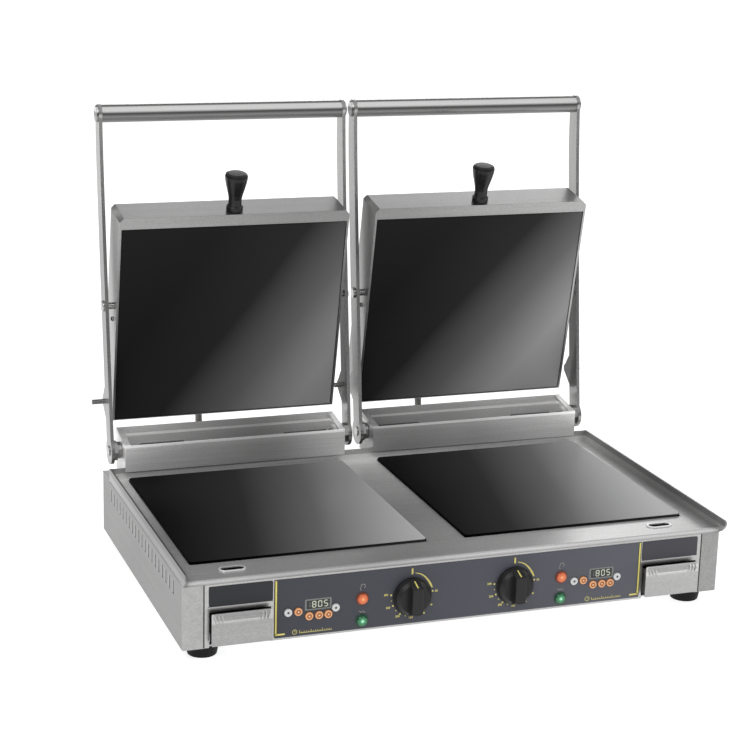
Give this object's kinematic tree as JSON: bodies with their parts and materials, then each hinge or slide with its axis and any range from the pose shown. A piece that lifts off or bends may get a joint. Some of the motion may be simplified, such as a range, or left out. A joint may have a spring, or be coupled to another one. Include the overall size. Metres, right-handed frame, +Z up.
{
  "type": "contact grill",
  "caption": "Wide countertop contact grill with two hinged glass-plate lids on swing arms, thermostat knobs, timer keys and pull-out fat drawers.",
  "frame": {"origin": "on the table under the middle of the whole grill's footprint, lids open", "axes": "+X to the user's right, +Y to the rear, +Z up"},
  "size_m": [0.639, 0.4902, 0.5205],
  "materials": {
    "brushed_steel": "brushed",
    "spring_steel": "ground",
    "zinc_sheet": "galvanised",
    "black_glass": "polished glass ceramic",
    "fascia_grey": "satin printed",
    "display_window": "gloss",
    "circuit_board": "resin",
    "lamp_lens": "translucent",
    "black_plastic": "moulded",
    "key_orange": "satin",
    "key_grey": "satin",
    "rubber_black": "matte",
    "conduit_grey": "corrugated"
  },
  "bodies": {
    "base": {"base_pan": "zinc_sheet", "left_side_panel": "brushed_steel", "right_side_panel": "brushed_steel", "rear_panel": "brushed_steel", "top_deck": "brushed_steel", "front_frame": "brushed_steel", "control_fascia": "fascia_grey", "label_plates": "fascia_grey", "lower_glasses": "black_glass", "lower_heaters": "zinc_sheet", "timer_displays": "display_window", "timer_boards": "circuit_board", "indicator_lamps": "lamp_lens", "lamp_bezels": "black_plastic", "thermostats": "black_plastic", "drawer_guides": "zinc_sheet", "spring_boxes": "brushed_steel", "lift_springs": "spring_steel", "feet": "rubber_black", "cable_glands": "black_plastic", "left_conduit": "conduit_grey", "right_conduit": "conduit_grey"},
    "left_arms": {"left_outer_arm": "brushed_steel", "left_inner_arm": "brushed_steel", "left_handle": "brushed_steel", "left_shaft": "spring_steel", "left_pivot_pins": "spring_steel", "left_shaft_nuts": "zinc_sheet"},
    "left_lid": {"left_lid_shell": "brushed_steel", "left_upper_glass": "black_glass", "left_upper_heater": "zinc_sheet", "left_lid_knob": "black_plastic"},
    "left_knob": {"left_thermostat_knob": "black_plastic", "left_thermostat_spindle": "spring_steel"},
    "left_fat_drawer": {"left_drawer": "brushed_steel"},
    "left_key_1_button": {"left_key_1": "key_grey"},
    "left_key_2_button": {"left_key_2": "key_orange"},
    "left_key_3_button": {"left_key_3": "key_orange"},
    "left_key_4_button": {"left_key_4": "key_orange"},
    "left_key_5_button": {"left_key_5": "key_orange"},
    "left_key_6_button": {"left_key_6": "key_grey"},
    "right_arms": {"right_outer_arm": "brushed_steel", "right_inner_arm": "brushed_steel", "right_handle": "brushed_steel", "right_shaft": "spring_steel", "right_pivot_pins": "spring_steel", "right_shaft_nuts": "zinc_sheet"},
    "right_lid": {"right_lid_shell": "brushed_steel", "right_upper_glass": "black_glass", "right_upper_heater": "zinc_sheet", "right_lid_knob": "black_plastic"},
    "right_knob": {"right_thermostat_knob": "black_plastic", "right_thermostat_spindle": "spring_steel"},
    "right_fat_drawer": {"right_drawer": "brushed_steel"},
    "right_key_1_button": {"right_key_1": "key_grey"},
    "right_key_2_button": {"right_key_2": "key_orange"},
    "right_key_3_button": {"right_key_3": "key_orange"},
    "right_key_4_button": {"right_key_4": "key_orange"},
    "right_key_5_button": {"right_key_5": "key_orange"},
    "right_key_6_button": {"right_key_6": "key_grey"}
  },
  "joints": [
    {"name": "left_arm_hinge", "type": "hinge", "parent": "base", "child": "left_arms", "pos_m": [-0.155, 0.156, 0.116], "axis": [1, 0, 0], "range_deg": [0, 99.6], "deforming": ["left_conduit"]},
    {"name": "left_lid_tilt", "type": "hinge", "parent": "left_arms", "child": "left_lid", "pos_m": [-0.1555, 0.17855, 0.28694], "axis": [1, 0, 0], "range_deg": [-24, 3]},
    {"name": "left_thermostat_turn", "type": "hinge", "parent": "base", "child": "left_knob", "pos_m": [-0.0594, -0.2135, 0.0475], "axis": [0, 1, 0], "range_deg": [0, 275]},
    {"name": "left_drawer_slide", "type": "slide", "parent": "base", "child": "left_fat_drawer", "axis": [0, -1, 0], "range_m": [0, 0.16]},
    {"name": "left_key_1_press", "type": "slide", "parent": "base", "child": "left_key_1_button", "axis": [0, 1, 0], "range_m": [0, 0.0008], "stiffness_N_per_m": 800, "springref_m": -0.0008},
    {"name": "left_key_2_press", "type": "slide", "parent": "base", "child": "left_key_2_button", "axis": [0, 1, 0], "range_m": [0, 0.0008], "stiffness_N_per_m": 800, "springref_m": -0.0008},
    {"name": "left_key_3_press", "type": "slide", "parent": "base", "child": "left_key_3_button", "axis": [0, 1, 0], "range_m": [0, 0.0008], "stiffness_N_per_m": 800, "springref_m": -0.0008},
    {"name": "left_key_4_press", "type": "slide", "parent": "base", "child": "left_key_4_button", "axis": [0, 1, 0], "range_m": [0, 0.0008], "stiffness_N_per_m": 800, "springref_m": -0.0008},
    {"name": "left_key_5_press", "type": "slide", "parent": "base", "child": "left_key_5_button", "axis": [0, 1, 0], "range_m": [0, 0.0008], "stiffness_N_per_m": 800, "springref_m": -0.0008},
    {"name": "left_key_6_press", "type": "slide", "parent": "base", "child": "left_key_6_button", "axis": [0, 1, 0], "range_m": [0, 0.0008], "stiffness_N_per_m": 800, "springref_m": -0.0008},
    {"name": "right_arm_hinge", "type": "hinge", "parent": "base", "child": "right_arms", "pos_m": [0.155, 0.156, 0.116], "axis": [1, 0, 0], "range_deg": [0, 99.6], "deforming": ["right_conduit"]},
    {"name": "right_lid_tilt", "type": "hinge", "parent": "right_arms", "child": "right_lid", "pos_m": [0.1555, 0.17855, 0.28694], "axis": [1, 0, 0], "range_deg": [-24, 3]},
    {"name": "right_thermostat_turn", "type": "hinge", "parent": "base", "child": "right_knob", "pos_m": [0.0594, -0.2135, 0.0475], "axis": [0, 1, 0], "range_deg": [0, 275]},
    {"name": "right_drawer_slide", "type": "slide", "parent": "base", "child": "right_fat_drawer", "axis": [0, -1, 0], "range_m": [0, 0.16]},
    {"name": "right_key_1_press", "type": "slide", "parent": "base", "child": "right_key_1_button", "axis": [0, 1, 0], "range_m": [0, 0.0008], "stiffness_N_per_m": 800, "springref_m": -0.0008},
    {"name": "right_key_2_press", "type": "slide", "parent": "base", "child": "right_key_2_button", "axis": [0, 1, 0], "range_m": [0, 0.0008], "stiffness_N_per_m": 800, "springref_m": -0.0008},
    {"name": "right_key_3_press", "type": "slide", "parent": "base", "child": "right_key_3_button", "axis": [0, 1, 0], "range_m": [0, 0.0008], "stiffness_N_per_m": 800, "springref_m": -0.0008},
    {"name": "right_key_4_press", "type": "slide", "parent": "base", "child": "right_key_4_button", "axis": [0, 1, 0], "range_m": [0, 0.0008], "stiffness_N_per_m": 800, "springref_m": -0.0008},
    {"name": "right_key_5_press", "type": "slide", "parent": "base", "child": "right_key_5_button", "axis": [0, 1, 0], "range_m": [0, 0.0008], "stiffness_N_per_m": 800, "springref_m": -0.0008},
    {"name": "right_key_6_press", "type": "slide", "parent": "base", "child": "right_key_6_button", "axis": [0, 1, 0], "range_m": [0, 0.0008], "stiffness_N_per_m": 800, "springref_m": -0.0008}
  ],
  "couplings": [
    {"joint": "left_lid_tilt", "follows": "left_arm_hinge", "ratio": -0.20783},
    {"joint": "right_lid_tilt", "follows": "right_arm_hinge", "ratio": -0.20783}
  ]
}
